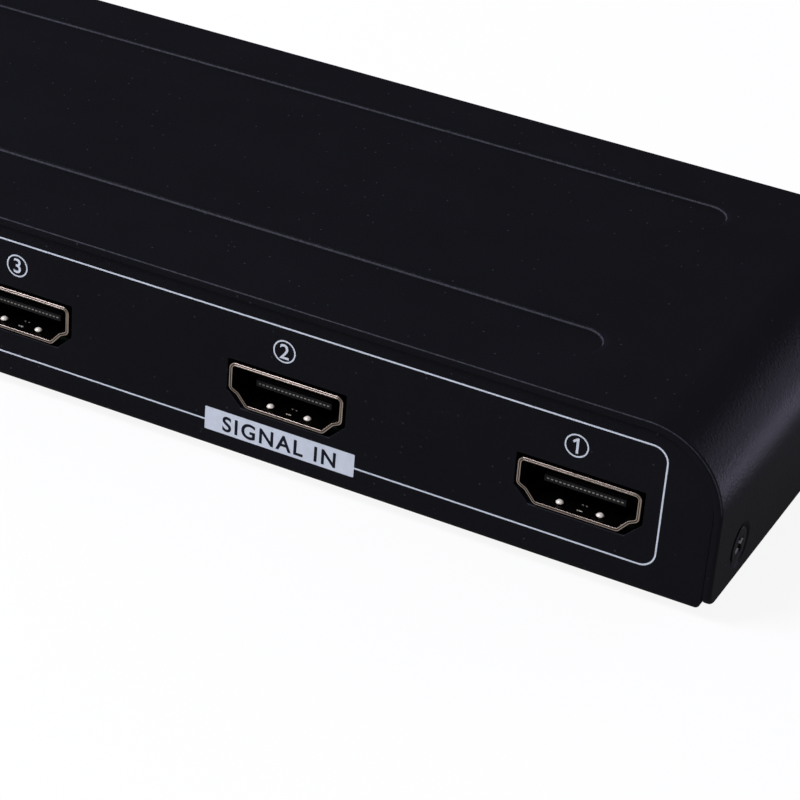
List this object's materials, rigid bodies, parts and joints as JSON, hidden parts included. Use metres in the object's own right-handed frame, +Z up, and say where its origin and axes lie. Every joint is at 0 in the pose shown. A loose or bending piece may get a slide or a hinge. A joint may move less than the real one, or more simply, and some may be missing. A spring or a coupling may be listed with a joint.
{
  "type": "hdmi switch box",
  "caption": "Flat black steel video switch box: a grooved bent cover over a tray whose panel holds a row of video sockets, with a select button, lamps and a remote window on the other side.",
  "frame": {"origin": "on the surface that the feet stand on, under the middle of the case", "axes": "+X along the socket panel, to the right of someone who looks at it; +Y from the socket panel to the front panel; +Z up"},
  "size_m": [0.1846, 0.0651, 0.0233],
  "materials": {
    "black_powder_coat": "satin",
    "black_screw": "satin",
    "foot_rubber": "matte",
    "tinned_metal": "satin",
    "board_laminate": "satin",
    "bronze_shell": "satin",
    "gold_contact": "polished",
    "black_plastic": "matte",
    "button_plastic": "satin",
    "stem_plastic": "satin",
    "lamp_lens": "gloss",
    "remote_filter": "gloss",
    "chip_resin": "matte",
    "ferrite": "matte",
    "can_aluminium": "satin"
  },
  "bodies": {
    "case": {"top_cover": "black_powder_coat", "bottom_tray": "black_powder_coat", "side_screws": "black_screw", "rubber_feet": "foot_rubber", "board_standoffs": "tinned_metal", "circuit_board": "board_laminate", "board_screws": "tinned_metal", "power_inlet_housing": "black_plastic", "power_inlet_pin": "tinned_metal", "power_inlet_spring": "tinned_metal", "switch_body": "black_plastic", "switch_dome": "tinned_metal", "switch_terminals": "tinned_metal", "power_lamp": "lamp_lens", "input_lamp_1": "lamp_lens", "input_lamp_2": "lamp_lens", "input_lamp_3": "lamp_lens", "lamp_leads": "tinned_metal", "remote_window": "remote_filter", "remote_receiver": "remote_filter", "remote_receiver_leads": "tinned_metal", "switching_chip": "chip_resin", "switching_chip_leads": "tinned_metal", "control_chip": "chip_resin", "control_chip_leads": "tinned_metal", "power_regulator": "chip_resin", "power_regulator_leads": "tinned_metal", "power_coil": "ferrite", "filter_capacitors": "can_aluminium", "capacitor_bases": "black_plastic", "crystal": "tinned_metal", "input_1_shell": "bronze_shell", "input_1_insulator": "black_plastic", "input_1_contacts": "gold_contact", "input_2_shell": "bronze_shell", "input_2_insulator": "black_plastic", "input_2_contacts": "gold_contact", "input_3_shell": "bronze_shell", "input_3_insulator": "black_plastic", "input_3_contacts": "gold_contact", "output_shell": "bronze_shell", "output_insulator": "black_plastic", "output_contacts": "gold_contact"},
    "select_button": {"select_button": "button_plastic", "switch_stem": "stem_plastic"}
  },
  "joints": [
    {"name": "select_button_press", "type": "slide", "parent": "case", "child": "select_button", "axis": [0, -1, 0], "range_m": [0, 0.0005], "stiffness_N_per_m": 3000, "springref_m": -0.0001}
  ]
}
